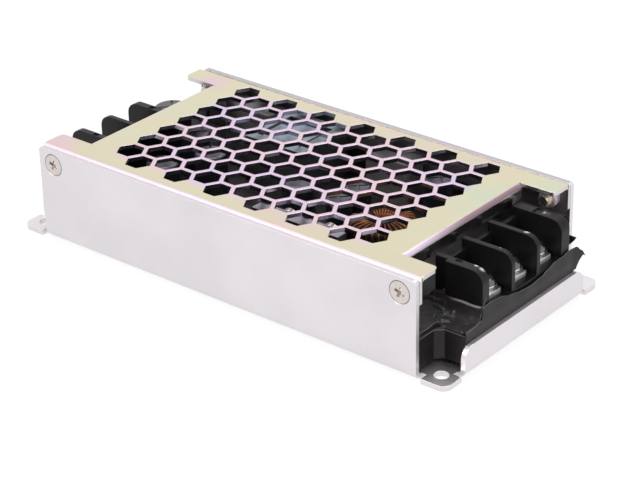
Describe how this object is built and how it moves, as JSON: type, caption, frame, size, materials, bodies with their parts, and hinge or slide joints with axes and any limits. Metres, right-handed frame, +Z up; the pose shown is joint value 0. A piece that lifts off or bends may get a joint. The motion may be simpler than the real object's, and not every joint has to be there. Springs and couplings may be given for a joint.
{
  "type": "power converter",
  "caption": "Small enclosed DC power converter: folded aluminium case, hexagon-vented chromated cover, barrier screw terminals at both ends, potted board and corner mounting tabs.",
  "frame": {"origin": "centre of the case underside, on the plane it is mounted to", "axes": "+Z up through the vented cover, +X towards the three-way input block, -X towards the two-way output block"},
  "size_m": [0.128, 0.06, 0.0245],
  "materials": {
    "chassis_aluminium": "satin, bead-rolled sheet",
    "chromated_steel": "chromated, pale yellow with pink and green sheen",
    "plated_screw": "nickel plated",
    "spacer_brass": "bright turned",
    "insulating_film": "black film, slightly glossy",
    "potting": "matt black, uneven",
    "laminate": "solder resist over glass laminate",
    "block_plastic": "moulded, fine grain",
    "terminal_metal": "bright tin plate",
    "ferrite": "ground grey ferrite",
    "bobbin_plastic": "moulded",
    "coil_tape": "bluish-grey tape",
    "copper_wire": "enamelled copper",
    "capacitor_can": "bare aluminium top, dark sleeve",
    "capacitor_box": "moulded box",
    "spreader_aluminium": "milled bar",
    "device_resin": "moulded resin with a metal tab"
  },
  "bodies": {
    "case": {"board_screws": "plated_screw", "board_spacers": "spacer_brass", "capacitor_1": "capacitor_can", "capacitor_2": "capacitor_can", "capacitor_3": "capacitor_can", "capacitor_4": "capacitor_can", "capacitor_5": "capacitor_can", "capacitor_6": "capacitor_can", "capacitor_7": "capacitor_can", "capacitor_8": "capacitor_can", "chassis": "chassis_aluminium", "choke_base": "bobbin_plastic", "choke_core": "ferrite", "choke_winding": "copper_wire", "circuit_board": "laminate", "cover": "chromated_steel", "cover_screws": "plated_screw", "device_screws": "plated_screw", "film_capacitor_1": "capacitor_box", "film_capacitor_2": "capacitor_box", "heat_spreader": "spreader_aluminium", "input_plate_1": "terminal_metal", "input_plate_2": "terminal_metal", "input_plate_3": "terminal_metal", "input_terminal_block": "block_plastic", "liner": "insulating_film", "output_plate_1": "terminal_metal", "output_plate_2": "terminal_metal", "output_terminal_block": "block_plastic", "potting": "potting", "power_device_1": "device_resin", "power_device_2": "device_resin", "transformer_bobbin": "bobbin_plastic", "transformer_coil": "coil_tape", "transformer_core_input": "ferrite", "transformer_core_output": "ferrite"},
    "input_clamp_body_1": {"input_clamp_1": "terminal_metal"},
    "input_screw_body_1": {"input_screw_1": "terminal_metal"},
    "input_clamp_body_2": {"input_clamp_2": "terminal_metal"},
    "input_screw_body_2": {"input_screw_2": "terminal_metal"},
    "input_clamp_body_3": {"input_clamp_3": "terminal_metal"},
    "input_screw_body_3": {"input_screw_3": "terminal_metal"},
    "output_clamp_body_1": {"output_clamp_1": "terminal_metal"},
    "output_screw_body_1": {"output_screw_1": "terminal_metal"},
    "output_clamp_body_2": {"output_clamp_2": "terminal_metal"},
    "output_screw_body_2": {"output_screw_2": "terminal_metal"}
  },
  "joints": [
    {"name": "input_clamp_lift_1", "type": "slide", "parent": "case", "child": "input_clamp_body_1", "axis": [0, 0, 1], "range_m": [0, 0.0025]},
    {"name": "input_screw_turn_1", "type": "hinge", "parent": "input_clamp_body_1", "child": "input_screw_body_1", "pos_m": [0.0571, -0.00732, 0.0145], "axis": [0, 0, 1], "range_deg": [0, 1800]},
    {"name": "input_clamp_lift_2", "type": "slide", "parent": "case", "child": "input_clamp_body_2", "axis": [0, 0, 1], "range_m": [0, 0.0025]},
    {"name": "input_screw_turn_2", "type": "hinge", "parent": "input_clamp_body_2", "child": "input_screw_body_2", "pos_m": [0.0571, 0.00248, 0.0145], "axis": [0, 0, 1], "range_deg": [0, 1800]},
    {"name": "input_clamp_lift_3", "type": "slide", "parent": "case", "child": "input_clamp_body_3", "axis": [0, 0, 1], "range_m": [0, 0.0025]},
    {"name": "input_screw_turn_3", "type": "hinge", "parent": "input_clamp_body_3", "child": "input_screw_body_3", "pos_m": [0.0571, 0.01222, 0.0145], "axis": [0, 0, 1], "range_deg": [0, 1800]},
    {"name": "output_clamp_lift_1", "type": "slide", "parent": "case", "child": "output_clamp_body_1", "axis": [0, 0, 1], "range_m": [0, 0.0025]},
    {"name": "output_screw_turn_1", "type": "hinge", "parent": "output_clamp_body_1", "child": "output_screw_body_1", "pos_m": [-0.0571, -0.00745, 0.0145], "axis": [0, 0, 1], "range_deg": [0, 1800]},
    {"name": "output_clamp_lift_2", "type": "slide", "parent": "case", "child": "output_clamp_body_2", "axis": [0, 0, 1], "range_m": [0, 0.0025]},
    {"name": "output_screw_turn_2", "type": "hinge", "parent": "output_clamp_body_2", "child": "output_screw_body_2", "pos_m": [-0.0571, 0.0023, 0.0145], "axis": [0, 0, 1], "range_deg": [0, 1800]}
  ],
  "couplings": [
    {"joint": "input_screw_turn_1", "follows": "input_clamp_lift_1", "rad_per_m": 12566},
    {"joint": "input_screw_turn_2", "follows": "input_clamp_lift_2", "rad_per_m": 12566},
    {"joint": "input_screw_turn_3", "follows": "input_clamp_lift_3", "rad_per_m": 12566},
    {"joint": "output_screw_turn_1", "follows": "output_clamp_lift_1", "rad_per_m": 12566},
    {"joint": "output_screw_turn_2", "follows": "output_clamp_lift_2", "rad_per_m": 12566}
  ]
}
